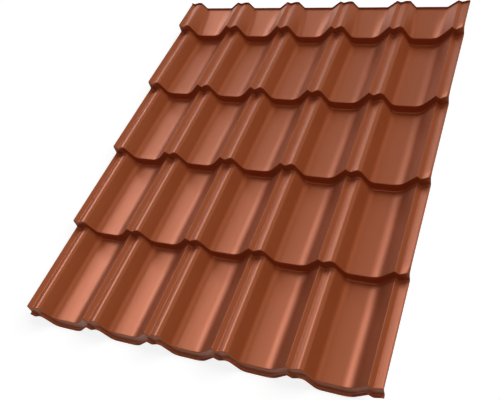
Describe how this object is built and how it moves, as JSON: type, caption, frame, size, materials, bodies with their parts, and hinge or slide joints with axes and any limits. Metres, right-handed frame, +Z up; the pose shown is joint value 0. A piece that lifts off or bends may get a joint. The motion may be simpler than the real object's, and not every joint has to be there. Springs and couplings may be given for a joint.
{
  "type": "tile effect metal roofing sheet",
  "caption": "Coated steel roofing sheet pressed into rows of wavy tiles, with sharp ridges, rounded rolls, wide pans and a step at the front of each row.",
  "frame": {"origin": "on the floor, under the middle of the sheet's length and width", "axes": "+X across the waves, +Y up the slope of the roof from the eave to the head, +Z up out of the weather side"},
  "size_m": [1.1924, 1.5676, 0.0942],
  "materials": {
    "coated_steel": "satin clay red coating"
  },
  "bodies": {
    "root": {"roofing_sheet": "coated_steel"}
  },
  "joints": []
}
